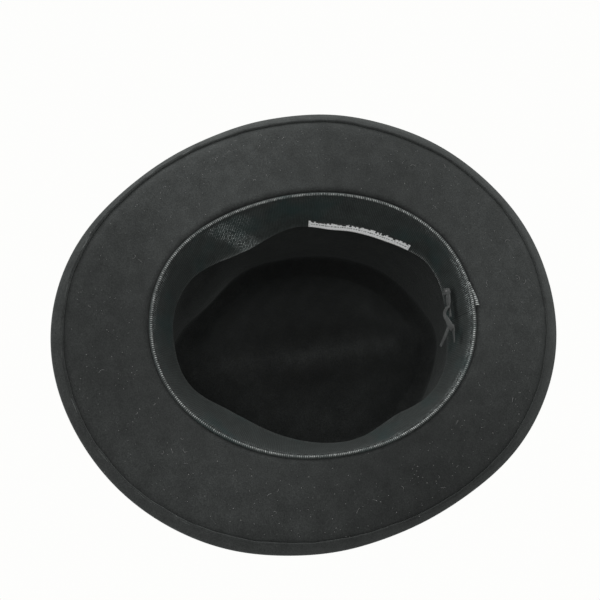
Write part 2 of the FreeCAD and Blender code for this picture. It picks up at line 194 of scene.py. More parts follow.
def dent(x, y):
    yy = np.minimum(1.0, np.abs(y) / TOP_A)
    half = TOP_B * np.sqrt(np.maximum(0.02, 1 - yy * yy))
    cx = -4.0 * (1 - yy * yy)
    half = half + np.where(x < cx, cx, -cx)
    q = np.minimum(1.0, np.sqrt((x - cx) ** 2 + 7.0) / half)
    ends = 1 - smooth((yy - 0.45) / 0.55)
    return 27.0 * (1 - q * q) ** 1.35 * (0.3 + 0.7 * ends) * (1 - yy ** 8)


def wobble(P, size, amp, seed):
    """Slow, smooth unevenness, the same wherever it is asked."""
    g = np.random.default_rng(seed)
    out = np.zeros(P.shape[:-1])
    for _ in range(9):
        k = g.normal(size=3) / size
        out += np.sin(P @ k * 2 * PI + g.uniform(0, 2 * PI))
    return amp * out / 3.0


# --------------------------------------------------------------- mesh tools
def new_object(name, verts, faces, attrs=None):
    me = bpy.data.meshes.new(name)
    me.from_pydata((np.asarray(verts) * 0.001).tolist(), [], faces)
    me.validate()
    me.polygons.foreach_set("use_smooth", [True] * len(me.polygons))
    for k, v in (attrs or {}).items():
        at_ = me.attributes.new(k, "FLOAT", "POINT")
        at_.data.foreach_set("value", np.asarray(v, np.float32).ravel())
    me.update()
    ob = bpy.data.objects.new(name, me)
    bpy.context.scene.collection.objects.link(ob)
    return ob


def quads(nv, nu, wrap_u, wrap_v):
    f = []
    for j in range(nv if wrap_v else nv - 1):
        j2 = (j + 1) % nv
        for i in range(nu if wrap_u else nu - 1):
            i2 = (i + 1) % nu
            f.append((j * nu + i, j * nu + i2, j2 * nu + i2, j2 * nu + i))
    return f


def grid_normals(P, wrap_u):
    if wrap_u:
        du = np.roll(P, -1, 1) - np.roll(P, 1, 1)
    else:
        du = np.gradient(P, axis=1)
    dv = np.gradient(P, axis=0)
    n = np.cross(du, dv)
    return n / np.maximum(1e-9, np.linalg.norm(n, axis=-1, keepdims=True))


def slab(name, F, t, attrs=None, flip=False):
    """Closed thin piece: F is its face, and it is t thick behind it."""
    nv, nu = F.shape[:2]
    n = grid_normals(F, False) * (-1 if flip else 1)
    B = F - n * t
    f = [tuple(q) for q in quads(nv, nu, False, False)]
    off = nv * nu
    g = [tuple(off + v for v in q[::-1]) for q in f]
    rim = [(0, i) for i in range(nu)] + [(j, nu - 1) for j in range(1, nv)] + \
          [(nv - 1, i) for i in range(nu - 2, -1, -1)] + [(j, 0) for j in range(nv - 2, 0, -1)]
    ids = [j * nu + i for j, i in rim]
    side = []
    for k in range(len(ids)):
        p, q = ids[k], ids[(k + 1) % len(ids)]
        side.append((q, p, off + p, off + q))
    faces = f + g + side
    if flip:
        faces = [q[::-1] for q in faces]
    at2 = {k: np.concatenate([np.ravel(v), np.ravel(v)]) for k, v in (attrs or {}).items()}
    return new_object(name, np.concatenate([F.reshape(-1, 3), B.reshape(-1, 3)]), faces, at2)


def tubes(name, paths, radius, sides=6, taper=0.35):
    """Many round threads in one mesh, each along its own points."""
    V, F = [], []
    for pts in paths:
        pts = np.asarray(pts, float)
        n = len(pts)
        tan = np.gradient(pts, axis=0)
        tan /= np.maximum(1e-9, np.linalg.norm(tan, axis=1, keepdims=True))
        ref = np.array([0.0, 0.0, 1.0]) if abs(tan[0][2]) < 0.9 else np.array([1.0, 0, 0])
        s = np.cross(tan, ref)
        s /= np.maximum(1e-9, np.linalg.norm(s, axis=1, keepdims=True))
        b = np.cross(tan, s)
        off = len(V)
        for i in range(n):
            r = radius * (taper if i in (0, n - 1) else 1.0)
            for k in range(sides):
                g = 2 * PI * k / sides
                V.append(pts[i] + r * (math.cos(g) * s[i] + math.sin(g) * b[i]))
        for i in range(n - 1):
            for k in range(sides):
                k2 = (k + 1) % sides
                F.append((off + i * sides + k, off + i * sides + k2,
                          off + (i + 1) * sides + k2, off + (i + 1) * sides + k))
        F.append(tuple(off + k for k in range(sides))[::-1])
        F.append(tuple(off + (n - 1) * sides + k for k in range(sides)))
    return new_object(name, np.array(V), F)


# -------------------------------------------------------------- materials
def material(name):
    m = bpy.data.materials.new(name)
    m.use_nodes = True
    return m, m.node_tree, m.node_tree.nodes["Principled BSDF"]


def node(nt, kind, **kw):
    n = nt.nodes.new(kind)
    for k, v in kw.items():
        if k in n.inputs:
            n.inputs[k].default_value = v
        else:
            setattr(n, k, v)
    return n


def noise(nt, co, scale, detail=4.0, rough=0.6):
    n = node(nt, "ShaderNodeTexNoise")
    n.inputs["Scale"].default_value = scale
    n.inputs["Detail"].default_value = detail
    n.inputs["Roughness"].default_value = rough
    nt.links.new(co, n.inputs["Vector"])
    return n.outputs["Fac"]


def ramp(nt, fac, stops):
    r = node(nt, "ShaderNodeValToRGB")
    e = r.color_ramp.elements
    while len(e) < len(stops):
        e.new(0.5)
    for k, (p, c) in zip(e, stops):
        k.position = p
        k.color = (*c, 1) if hasattr(c, "__len__") else (c, c, c, 1)
    nt.links.new(fac, r.inputs["Fac"])
    return r.outputs["Color"]


def mix(nt, fac, a, b, blend="MIX"):
    m = node(nt, "ShaderNodeMix", data_type="RGBA", blend_type=blend)
    for sock, v in ((m.inputs[0], fac), (m.inputs[6], a), (m.inputs[7], b)):
        if isinstance(v, (int, float)):
            sock.default_value = v
        elif hasattr(v, "__len__"):
            sock.default_value = (*v, 1)
        else:
            nt.links.new(v, sock)
    return m.outputs[2]


def maths(nt, op, a, b=0.0, clamp=False):
    m = node(nt, "ShaderNodeMath", operation=op, use_clamp=clamp)
    for sock, v in ((m.inputs[0], a), (m.inputs[1], b)):
        if isinstance(v, (int, float)):
            sock.default_value = v
        else:
            nt.links.new(v, sock)
    return m.outputs[0]


def bump(nt, bsdf, height, strength, distance, chain=None):
    b = node(nt, "ShaderNodeBump")
    b.inputs["Strength"].default_value = strength
    b.inputs["Distance"].default_value = distance
    nt.links.new(height, b.inputs["Height"])
    if chain is not None:
        nt.links.new(chain, b.inputs["Normal"])
    nt.links.new(b.outputs["Normal"], bsdf.inputs["Normal"])
    return b.outputs["Normal"]


def attribute(nt, name):
    return node(nt, "ShaderNodeAttribute", attribute_name=name).outputs["Fac"]


def felt_material():
    m, nt, p = material("black_wool_felt")
    co = node(nt, "ShaderNodeTexCoord").outputs["Object"]
    nap = noise(nt, co, 1300, 6, 0.75)
    blotch = noise(nt, co, 95, 3, 0.55)
    fine = noise(nt, co, 480, 5, 0.65)
    base = ramp(nt, nap, [(0.30, (0.0110, 0.0122, 0.0120)), (0.70, (0.0450, 0.0478, 0.0470))])
    tone = ramp(nt, blotch, [(0.30, 0.80), (0.70, 1.16)])
    col = mix(nt, 1.0, base, tone, "MULTIPLY")
    col = mix(nt, 1.0, col, ramp(nt, fine, [(0.3, 0.84), (0.7, 1.14)]), "MULTIPLY")
    inside = attribute(nt, "inside")
    # painted light and shade: the brim painted lighter or darker by azimuth, and the crown's inside painted
    # darker with a painted highlight along the dent ridge
    col = mix(nt, 1.0, col, maths(nt, "MULTIPLY", attribute(nt, "tone"), 1.6), "MULTIPLY")
    # lint: small pale specks caught in the nap, none inside the crown
    speck = None
    for scale, size, rare in ((330, 0.060, 0.90), (170, 0.040, 0.72)):
        v = node(nt, "ShaderNodeTexVoronoi", feature="F1")
        v.inputs["Scale"].default_value = scale
        nt.links.new(co, v.inputs["Vector"])
        near = maths(nt, "LESS_THAN", v.outputs["Distance"], size)
        pick = node(nt, "ShaderNodeSeparateColor")
        nt.links.new(v.outputs["Color"], pick.inputs[0])
        some = maths(nt, "GREATER_THAN", pick.outputs[0], rare)
        k = maths(nt, "MULTIPLY", near, some)
        speck = k if speck is None else maths(nt, "MAXIMUM", speck, k)
    speck = maths(nt, "MULTIPLY", speck, maths(nt, "SUBTRACT", 1.0, inside))
    col = mix(nt, maths(nt, "MULTIPLY", speck, 0.75), col, (0.33, 0.33, 0.32))
    nt.links.new(col, p.inputs["Base Color"])
    nt.links.new(ramp(nt, fine, [(0.2, 0.88), (0.8, 1.0)]), p.inputs["Roughness"])
    p.inputs["Specular IOR Level"].default_value = 0.16
    p.inputs["Sheen Weight"].default_value = 0.16
    p.inputs["Sheen Roughness"].default_value = 0.55
    p.inputs["Sheen Tint"].default_value = (0.86, 0.93, 0.91, 1)
    c = bump(nt, p, nap, 0.55, 0.00035)
    c = bump(nt, p, fine, 0.35, 0.0006, c)
    bump(nt, p, blotch, 0.20, 0.0012, c)
    return m


def ribbon_material(name, dark, light, dots=0.0):
    """Grosgrain: the ribs are in the mesh, and carry the attribute 'rib'."""
    m, nt, p = material(name)
    co = node(nt, "ShaderNodeTexCoord").outputs["Object"]
    rib = attribute(nt, "rib")
    fold = attribute(nt, "fold")
    painted_glint = attribute(nt, "painted_glint")
    tone = noise(nt, co, 140, 3, 0.5)
    weave = noise(nt, co, 2600, 3, 0.7)
    # painted highlight: rib crests painted lighter than the hollows between them
    col = mix(nt, maths(nt, "MULTIPLY", rib, 0.85), dark, light)
    col = mix(nt, 1.0, col, ramp(nt, tone, [(0.3, 0.78), (0.7, 1.22)]), "MULTIPLY")
    col = mix(nt, 1.0, col, ramp(nt, weave, [(0.3, 0.7), (0.7, 1.3)]), "MULTIPLY")
    if dots:
        # painted highlights: bright dots painted on the thread crowns along the fold and the free edge
        crown = maths(nt, "POWER", rib, 4.0)
        painted_glint_pick = ramp(nt, noise(nt, co, 560, 3, 0.7), [(0.40, 0.22), (0.62, 1.0)])
        k = maths(nt, "MULTIPLY", maths(nt, "MULTIPLY", crown, fold), painted_glint_pick)
        col = mix(nt, maths(nt, "MULTIPLY", k, dots), col, (0.70, 0.73, 0.72))
        # painted glints: slanting rows of bright weft-float dots painted into the colour, in patches where
        # light catches the weave
        bu, bv = attribute(nt, "across"), attribute(nt, "along")
        c1 = maths(nt, "COSINE", maths(nt, "MULTIPLY", bu, 2 * PI))
        c2 = maths(nt, "COSINE", maths(nt, "MULTIPLY", bv, 2 * PI))
        dot = maths(nt, "MULTIPLY", maths(nt, "ADD", maths(nt, "MULTIPLY", c1, 1.6), 0.1, True),
                    maths(nt, "ADD", maths(nt, "MULTIPLY", c2, 0.7), 0.62, True))
        lit = ramp(nt, noise(nt, co, 800, 3, 0.7), [(0.44, 0.06), (0.58, 1.0)])
        g = maths(nt, "MULTIPLY", maths(nt, "MULTIPLY", dot, lit), painted_glint, True)
        col = mix(nt, g, col, (0.60, 0.66, 0.65))
        # a faint blue-green cast where the dye has worn thin
        cast = ramp(nt, noise(nt, co, 42, 2, 0.5), [(0.52, 0.0), (0.74, 1.0)])
        col = mix(nt, maths(nt, "MULTIPLY", cast, 0.55), col, (0.012, 0.034, 0.034))
    nt.links.new(col, p.inputs["Base Color"])
    p.inputs["Roughness"].default_value = 0.62
    p.inputs["Specular IOR Level"].default_value = 0.30
    p.inputs["Sheen Weight"].default_value = 0.08
    p.inputs["Sheen Roughness"].default_value = 0.4
    bump(nt, p, weave, 0.45, 0.00015)
    return m


def thread_material(name, c0, c1):
    m, nt, p = material(name)
    co = node(nt, "ShaderNodeTexCoord").outputs["Object"]
    w = node(nt, "ShaderNodeTexWave", wave_type="BANDS", bands_direction="DIAGONAL")
    w.inputs["Scale"].default_value = 900
    nt.links.new(co, w.inputs["Vector"])
    nt.links.new(ramp(nt, w.outputs["Fac"], [(0.2, c0), (0.8, c1)]), p.inputs["Base Color"])
    p.inputs["Roughness"].default_value = 0.7
    bump(nt, p, w.outputs["Fac"], 0.5, 0.0001)
    return m


def label_material():
    m, nt, p = material("woven_label")
    co = node(nt, "ShaderNodeTexCoord").outputs["Object"]
    ink = attribute(nt, "ink")
    weave = noise(nt, co, 2200, 3, 0.6)
    pale = ramp(nt, weave, [(0.3, (0.86, 0.87, 0.87)), (0.7, (0.97, 0.98, 0.98))])
    nt.links.new(mix(nt, ink, pale, (0.022, 0.026, 0.025)), p.inputs["Base Color"])
    p.inputs["Roughness"].default_value = 0.55
    bump(nt, p, weave, 0.4, 0.00012)
    return m


def steel_material():
    m, nt, p = material("brim_wire_steel")
    co = node(nt, "ShaderNodeTexCoord").outputs["Object"]
    n = noise(nt, co, 700, 3, 0.6)
    nt.links.new(ramp(nt, n, [(0.3, 0.30), (0.7, 0.48)]), p.inputs["Base Color"])
    p.inputs["Metallic"].default_value = 1.0
    p.inputs["Roughness"].default_value = 0.45
    return m


def lint_material():
    m, nt, p = material("lint")
    co = node(nt, "ShaderNodeTexCoord").outputs["Object"]
    n = noise(nt, co, 900, 3, 0.6)
    nt.links.new(ramp(nt, n, [(0.3, 0.15), (0.7, 0.38)]), p.inputs["Base Color"])
    p.inputs["Roughness"].default_value = 0.8
    return m


FELT = felt_material()
SWEAT = ribbon_material("sweatband_grosgrain", (0.0105, 0.0135, 0.0128),
                        (0.0290, 0.0350, 0.0335), 1.0)
HATRIB = ribbon_material("hat_ribbon_grosgrain", (0.0060, 0.0066, 0.0066),
                         (0.0215, 0.0230, 0.0228), 0.0)
BOWRIB = ribbon_material("small_bow_ribbon", (0.0350, 0.0380, 0.0375),
                         (0.0900, 0.0940, 0.0930), 0.0)
THREAD = thread_material("black_thread", 0.012, 0.035)
PALE = thread_material("grey_thread", 0.10, 0.24)
LABEL = label_material()
STEEL = steel_material()
LINT = lint_material()


def paint(ob, mat):
    ob.data.materials.clear()
    ob.data.materials.append(mat)
    return ob


# ------------------------------------------------------------------ felt
NA = 432
A = 2 * PI * np.arange(NA) / NA
brim = Brim(A)
rings, tag = [], []


def ring(P, inside=0.0):
    rings.append(P)
    tag.append(np.full(NA, inside))


sh = shoulder(A)
h_true = crest(sh[:, 0], sh[:, 1], np.minimum(1.0, np.abs(sh[:, 1]) / TOP_A))
top_edge = at(A, wall_e(h_true - SHOULDER_R) - SHOULDER_R, h_true)
outer = []
for t in np.linspace(0.02, 0.985, 46):
    x, y = top_edge[:, 0] * t, top_edge[:, 1] * t
    z = crest(x, y, np.abs(y) / TOP_A) - dent(x, y)
    P = np.stack([x, y, z], -1)
    outer.append(P + (pinch(P) - P) * smooth((t - 0.2) / 0.2))
tops = h_true - SHOULDER_R
for g in np.radians(np.linspace(90, 0, 13)):
    outer.append(pinch(at(A, wall_e(tops) - SHOULDER_R * (1 - math.cos(g)),
                          tops + SHOULDER_R * math.sin(g))))
for f in np.linspace(0.965, 0.0, 30):
    z = 9 + (tops - 9) * f
    outer.append(pinch(at(A, wall_e(z), z)))
outer = np.array(outer)
# the hand-shaped crown isn't perfectly even
k_top = smooth((outer[..., 2] - 48) / 25.0)
outer[..., 2] += wobble(outer, 46.0, 0.55, 3) * k_top
n_out = grid_normals(outer, True)
c0 = outer.mean((0, 1))
if (n_out[-1] * (outer[-1] - c0)).sum() < 0:
    n_out = -n_out
inner = outer - n_out * FELT_T
for P in outer:
    ring(P)
for g in np.radians(np.linspace(0, 90, 9)):
    ring(at(A, FELT_T + ROOT_R - ROOT_R * math.cos(g), FELT_T + ROOT_R - ROOT_R * math.sin(g)))
for s in np.arange(1.0, S - 2.0, 1.25):
    ring(brim.at(s, -FELT_T))
# the turned-under edge: its width in mm, every 10 degrees from the back
WELT = [10.6, 10.3, 10.3, 10.5, 10.3, 10.8, 10.4, 9.1, 8.7, 9.0, 8.8, 8.6, 8.0, 7.4, 7.1, 7.3,
        7.8, 8.4, 8.5, 7.8, 7.4, 7.5, 7.9, 8.4, 8.8, 9.0, 9.3, 9.5, 9.5, 9.0, 8.5, 8.8, 9.7,
        10.5, 10.8, 10.9]
deg = np.degrees(A)
W = np.interp(deg, np.arange(0, 361, 10), WELT + WELT[:1])
W = W + 0.16 * np.sin(23 * A + 1.0) + 0.10 * np.sin(41 * A) + 0.08 * np.sin(67 * A + 2)
for ds, n in ((1.75, -2.0), (1.35, -1.93), (0.95, -1.72), (0.55, -1.32), (0.25, -0.8),
              (0.08, -0.15), (0.03, 0.45), (0.12, 1.05), (0.40, 1.58), (0.85, 1.95),
              (1.4, 2.14), (2.0, 2.2), (2.8, 2.16)):
    ring(brim.at(S - ds, n))
for f in np.linspace(0.12, 0.86, 7):
    ring(brim.at(S - 2.8 - (W - 2.8) * f, 2.12 - 0.30 * f + 0.04 * np.sin(31 * A + 9 * f)))
for d, n in ((0.75, 1.84), (0.35, 1.78), (0.10, 1.62), (0.0, 1.30), (-0.02, 0.85),
             (0.10, 0.45), (0.55, 0.20), (1.1, 0.13), (1.1, 0.02), (0.5, -0.02),
             (-0.15, 0.0), (-0.6, 0.0), (-1.1, 0.0)):
    ring(brim.at(S - W + d, n))
stop = S - W - 1.1
for f in np.linspace(0.02, 1.0, 46)[:-1]:
    s = stop * (1 - f)
    ring(brim.at(s, 0.0))
R = ROOT_R + FELT_T
for g in np.radians(np.linspace(90, 0, 12)):
    k = smooth(1 - g / (PI / 2))
    ring(at(A, R - R * math.cos(g), R - R * math.sin(g)), float(k))
for P in inner[::-1]:
    ring(P, 1.0)
P = np.array(rings)
nr = len(rings)
verts = P.reshape(-1, 3)
c_top = P[0].mean(0)
c_in = P[-1].mean(0)
faces = quads(nr, NA, True, False)
vt, vi = nr * NA, nr * NA + 1
for i in range(NA):
    faces.append((vt, (i + 1) % NA, i))
    faces.append((vi, (nr - 1) * NA + i, (nr - 1) * NA + (i + 1) % NA))
verts = np.concatenate([verts, [c_top], [c_in]])
inside = np.concatenate([np.array(tag).ravel(), [0.0, 1.0]])
# painted light and shade: the brim lighter or darker by azimuth; inside the crown, painted shade by side and
# over the top, a painted highlight along the dent ridge and painted shade in the valleys beside it
az_ = np.arctan2(verts[:, 0], verts[:, 1])
brim_painted_light = 1.05 + 0.19 * np.sin(az_) + 0.20 * np.cos(3 * az_)
crown_side_painted_shade = 0.78 - 0.42 * np.sin(az_) - 0.12 * np.cos(az_)
up_ = smooth((verts[:, 2] - 62) / 26.0)
rad_ = np.sqrt((verts[:, 0] / TOP_B) ** 2 + (verts[:, 1] / TOP_A) ** 2)
mid_ = up_ * (1 - smooth((rad_ - 0.30) / 0.55))
cx_ = -4.0 * (1 - np.minimum(1, np.abs(verts[:, 1]) / TOP_A) ** 2)
dx_ = verts[:, 0] - cx_ - 1.5
crown_painted_shade = crown_side_painted_shade * (1 - mid_) + 0.40 * mid_
ends_k = (1 - smooth((np.abs(verts[:, 1]) / TOP_A - 0.55) / 0.4)) \
    * (0.34 + 0.66 * smooth((verts[:, 1] + 34) / 50.0))
crown_painted_shade = crown_painted_shade * (1 + up_ * ends_k * (0.95 * np.exp(-(dx_ / 5.5) ** 2)
                                     - 0.28 * np.exp(-((np.abs(dx_) - 15) / 6.0) ** 2)))
tone = (brim_painted_light * (1 - inside) + crown_painted_shade * inside) / 1.6
felt = new_object("felt_hat", verts, faces, {"inside": inside, "tone": np.clip(tone, 0, 1)})
bpy.context.view_layer.objects.active = felt


def outward(ob):
    """Turn every face to point out of the closed mesh."""
    me = ob.data
    v = np.zeros(len(me.vertices) * 3)
    me.vertices.foreach_get("co", v)
    v = v.reshape(-1, 3)
    me.calc_loop_triangles()
    t = np.zeros(len(me.loop_triangles) * 3, int)
    me.loop_triangles.foreach_get("vertices", t)
    a, b, c = v[t[0::3]], v[t[1::3]], v[t[2::3]]
    if (a * np.cross(b, c)).sum() < 0:
        me.flip_normals()
    return ob


paint(outward(felt), FELT)
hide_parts("felt_body", "brim_front", "brim_welt_rear", "brim_welt_front")
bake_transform(felt)

# the wire inside the turned edge bends with it
wire_rings = []
for k in range(8):
    g = 2 * PI * k / 8
    wire_rings.append(brim.at(S - 2.46 + 0.5 * math.cos(g), 0.45 + 0.5 * math.sin(g)))
wr = np.array(wire_rings)
wire = outward(new_object("brim_wire", wr.reshape(-1, 3), quads(8, NA, True, True)))
paint(wire, STEEL)
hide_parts("brim_wire_rear", "brim_wire_front")
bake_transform(wire)

# ------------------------------------------------------------- sweatband
# Where the free edge stands, in mm from the head opening, by azimuth.
EDGE = [(6, -10.5), (16, -8.0), (26, -7.0), (36, -10.5), (46, -13.0), (55, -13.5), (64, -13.5),
        (73, -14.0), (80, -12.2), (89, -10.4), (98, -12.5), (106, -15.5), (115, -18.3),
        (125, -18.0), (133, -15.7), (145, -11.8), (153, -11.2), (160, -11.2), (170, -12.1),
        (181, -13.5), (190, -13.4), (197, -14.0), (203, -15.4), (211, -18.4), (218, -20.4),
        (229, -20.4), (237, -18.8), (245, -17.0), (257, -14.2), (269, -12.0), (280, -10.8),
        (289, -11.6), (298, -13.9), (306, -14.6), (314, -11.9), (322, -9.0), (331, -8.2),
        (340, -9.4), (350, -11.6), (357, -11.8)]
ex = np.array([d for d, _ in EDGE])
ey = np.array([v for _, v in EDGE])
ex = np.concatenate([ex - 360, ex, ex + 360])
ey = np.concatenate([ey, ey, ey])
fine_d = np.arange(-60, 420, 0.5)
fine_e = np.interp(fine_d, ex, ey)
kern = np.hanning(25)
fine_e = np.convolve(fine_e, kern / kern.sum(), mode="same")


def free_edge(a):
    return np.interp(np.degrees(a) % 360, fine_d, fine_e)


def band_face(a, z):
    """Offset of the sweatband's inner face at height z above the fold."""
    k = np.clip((z - 0.8) / 29.2, 0, 1.1)
    return -0.95 + (free_edge(a) + 0.95) * k ** 1.15 + settle(a, z)


def settle(a, z):
    return by_azimuth(SETTLE, a) * np.exp(-np.maximum(0.0, np.asarray(z, float)) / 9.0)


RIBS = 480
PITCH = 2 * PI / RIBS


def rib(u):
    """Height of a rib, 0 to 1; u counts ribs."""
    t = np.abs((u % 1.0) * 2 - 1)
    return 1 - t ** 2.0


PER = 6
NU = RIBS * PER
U = 2 * PI * np.arange(NU) / NU
face_path = [("s", 1.05, 1.5), ("s", 1.15, 0.8), ("s", 0.85, 0.2), ("s", 0.40, -0.20),
             ("s", 0.02, -0.42), ("s", -0.32, -0.36), ("s", -0.62, -0.08), ("s", -0.82, 0.34),
             ("s", -0.95, 0.8)]
zz = [1.6, 2.8, 4.2, 6.0, 8.0, 10.0, 12.5, 15.0, 17.5, 20.0, 22.5, 25.0, 27.0, 28.4, 29.2, 29.7, 30.0]
front, ribk, foldk = [], [], []
for _, e, z in face_path:
    front.append((e + settle(U, z), np.full(NU, z)))
for z in zz:
    front.append((band_face(U, z), np.full(NU, z)))
nf = len(front)
# painted highlight along the fold and the free edge: how strongly the rib crowns are painted bright, row by row
fold_w = [0, 0, 0.0, 0.10, 0.55, 1.0, 0.95, 0.30, 0.05] + [0.02] * 4 + [0.0] * 8 + \
    [0.03, 0.08, 0.20, 0.24, 0.12]
fold_w = (fold_w + [0.0] * nf)[:nf]
amp = [0, 0.05, 0.12, 0.24, 0.30, 0.30, 0.26, 0.20, 0.16] + [0.13] * (nf - 9)
grid = np.array([at(U, e, z) for e, z in front])
n_f = grid_normals(grid, True)
mid = nf // 2
toward = -grid[mid].copy()
toward[:, 2] = 0
if (n_f[mid] * toward).sum() < 0:
    n_f = -n_f
slant = np.array([0.5 * (i / nf) for i in range(nf)])
u_ = U / PITCH
for i in range(nf):
    jit = 0.12 * np.sin(u_ * 0.37 + 0.9 * i) if i > 8 else 0.0
    h = rib(u_ + slant[i] * 1.6 + jit)
    grid[i] += n_f[i] * (amp[i] * h)[:, None]
    ribk.append(h)
    ad = np.degrees(U)
    # painted highlight on the free edge, stronger at two azimuths
    edge_painted_highlight = 0.35 + 2.2 * np.exp(-((ad - 24) / 15.0) ** 4) + 1.2 * np.exp(-((ad - 122) / 14.0) ** 4)
    foldk.append(np.clip(fold_w[i] * (edge_painted_highlight if i >= nf - 6 else 1.0), 0, 1) * np.ones(NU))
back = np.array([at(U, e, z) for e, z in front])[::-1] - n_f[::-1] * 0.55
back = back[1:-2]
sec = np.concatenate([grid, back])
nb = len(back)
a_deg = np.degrees(U) % 360
near_back = np.exp(-((np.minimum(a_deg, 360 - a_deg)) / 26.0) ** 2)


def patch(d0, half):
    k = (a_deg - d0 + 180) % 360 - 180
    return np.exp(-(k / half) ** 4)


# painted glints: how strongly the weave is painted bright, in patches by azimuth near the fold and in a streak
# up the band
painted_glint, across, along = [], [], []
cosec = [(0.62, 9, 0.4), (0.55, 23, 1.9), (0.4, 41, 3.0)]
patchy = 0.55 + 0.45 * sum(w * np.sin(k * U + q) for w, k, q in cosec)
for i in range(nf):
    zc = float(front[i][1][0])
    low_ = math.exp(-((zc - 2.6) / 3.6) ** 2) if i > 6 else 0.0
    wide = smooth((zc - 2.0) / 3.0) if i > 6 else 0.0
    v_ = near_back * low_ * np.clip(patchy * 1.7, 0.3, 1.3)
    v_ = v_ + 0.85 * low_ * patch(168, 17) * np.clip(patchy * 1.3, 0, 1)
    v_ = v_ + 0.60 * low_ * patch(300, 50) * np.clip(patchy, 0, 1)
    v_ = v_ + 0.45 * low_ * patch(225, 22) * np.clip(patchy, 0, 1)
    v_ = np.maximum(v_, 1.0 * wide * patch(127.5 - 0.52 * (zc - 4), 5.2))
    v_ = np.maximum(v_, 0.40 * wide * patch(118.0 - 0.52 * (zc - 4), 4.0) * smooth((18 - zc) / 8.0))
    v_ = np.maximum(v_, 0.05 * wide)
    painted_glint.append(np.clip(v_, 0, 1))
    across.append(u_ * 1.0)
    along.append(np.full(NU, zc / 1.15) + 0.50 * np.round(u_))
zero = np.zeros((nb, NU))
sweat = new_object("sweatband_ribbon", sec.reshape(-1, 3), quads(len(sec), NU, True, True),
                   {"rib": np.concatenate([np.array(ribk), zero]),
                    "fold": np.concatenate([np.array(foldk), zero]),
                    "painted_glint": np.concatenate([np.array(painted_glint), zero]),
                    "across": np.concatenate([np.array(across), zero]),
                    "along": np.concatenate([np.array(along), zero])})
paint(outward(sweat), SWEAT)
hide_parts("sweatband")
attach(sweat, "hat")


def on_band(a, z, lift):
    """Point lift in front of the sweatband's inner face."""
    a, z = np.broadcast_arrays(np.asarray(a, float), np.asarray(z, float))
    d = 0.6
    p = at(a, band_face(a, z), z)
    pu = at(a, band_face(a, z + d), z + d)
    ps = at(a + 0.004, band_face(a + 0.004, z), z)
    n = np.cross(ps - p, pu - p)
    n /= np.linalg.norm(n, axis=-1, keepdims=True)
    flip = (n[..., 0] * p[..., 0] + n[..., 1] * p[..., 1]) > 0
    n = np.where(flip[..., None], -n, n)
    return p + n * np.asarray(lift, float)[..., None]


# fold stitching: short sunk threads
paths = []
for i in range(112):
    a0 = 2 * PI * i / 112 + 0.004 * math.sin(i * 2.1)
    aa = np.linspace(a0, a0 + 2 * PI / 112 * 0.52, 5)
    lift = np.array([0.05, 0.30, 0.36, 0.30, 0.05])
    paths.append(on_band(aa, np.full(5, 2.3), lift))
st = paint(outward(tubes("fold_stitches", paths, 0.19)), THREAD)
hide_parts("sweatband_stitches")
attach(st, "hat")

# lapped end of the ribbon at the back
nu, nv = 64, 30
aa = np.radians(np.linspace(-3.4, 3.6, nu))
zv = np.linspace(1.2, 29.7, nv)
AAg, ZZg = np.meshgrid(aa, zv)
hr = rib(AAg / PITCH + 0.4)
F = on_band(AAg, ZZg, 0.20 + 0.24 * np.exp(-(ZZg - 1.2) / 2.0) + 0.13 * hr)
# painted glints on the lap, strongest near its lower edge
lap = slab("sweatband_lap", F, 0.22, {"rib": hr, "fold": hr * 0, "across": AAg / PITCH,
                                      "along": ZZg / 1.15 + 0.5 * np.round(AAg / PITCH),
                                      "painted_glint": np.exp(-((ZZg - 3) / 3.6) ** 2)})
paint(outward(lap), SWEAT)
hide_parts("sweatband_lap")
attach(lap, "hat")
paths = []
for k in range(9):
    z = 3.4 + 2.8 * k
    paths.append(on_band(np.radians(np.array([-2.6, -2.5, -2.4, -2.3])) + 0.001 * (k % 2),
                         np.array([z, z + 0.5, z + 1.0, z + 1.5]), np.array([0.24, 0.40, 0.40, 0.24])))
ls = paint(outward(tubes("lap_stitches", paths, 0.10)), THREAD)
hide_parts("sweatband_lap_stitches")
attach(ls, "hat")

# the ribbon's outer end springs a little outside the fold
nu, nv = 90, 9
u = np.linspace(0, 1, nu)
aa = np.radians(6.6 - 8.6 * u)
out = 0.1 + 2.0 * smooth(u) ** 0.9
rows = []
hh = rib(aa / PITCH)
for j, (de, z) in enumerate(((-1.05, 0.2), (-0.85, -0.25), (-0.5, -0.50), (-0.15, -0.62), (0.12, -0.56),
                             (0.36, -0.36), (0.5, -0.10), (0.52, 0.2), (0.42, 0.4))):
    k = [0.3, 0.7, 1, 1, 1, 0.9, 0.6, 0.3, 0][j]
    rows.append(at(aa, out + de * (0.45 + 0.75 * u), z - 0.25 * k * hh - 0.30 * u))
F = np.array(rows)
hg = np.broadcast_to(hh, (nv, nu))
# painted highlight: bright dots painted along this end's fold
fo = np.broadcast_to(np.array([0.3, 0.6, 0.9, 1, 1, 0.8, 0.5, 0.2, 0])[:, None], (nv, nu)) \
    * (0.55 + 0.45 * np.abs(np.sin(u * 21)))[None]
end = slab("sweatband_end", F, 0.3, {"rib": hg, "fold": fo, "painted_glint": fo * 0,
                                     "across": hg * 0, "along": hg * 0}, flip=True)
paint(outward(end), SWEAT)
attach(end, "hat")

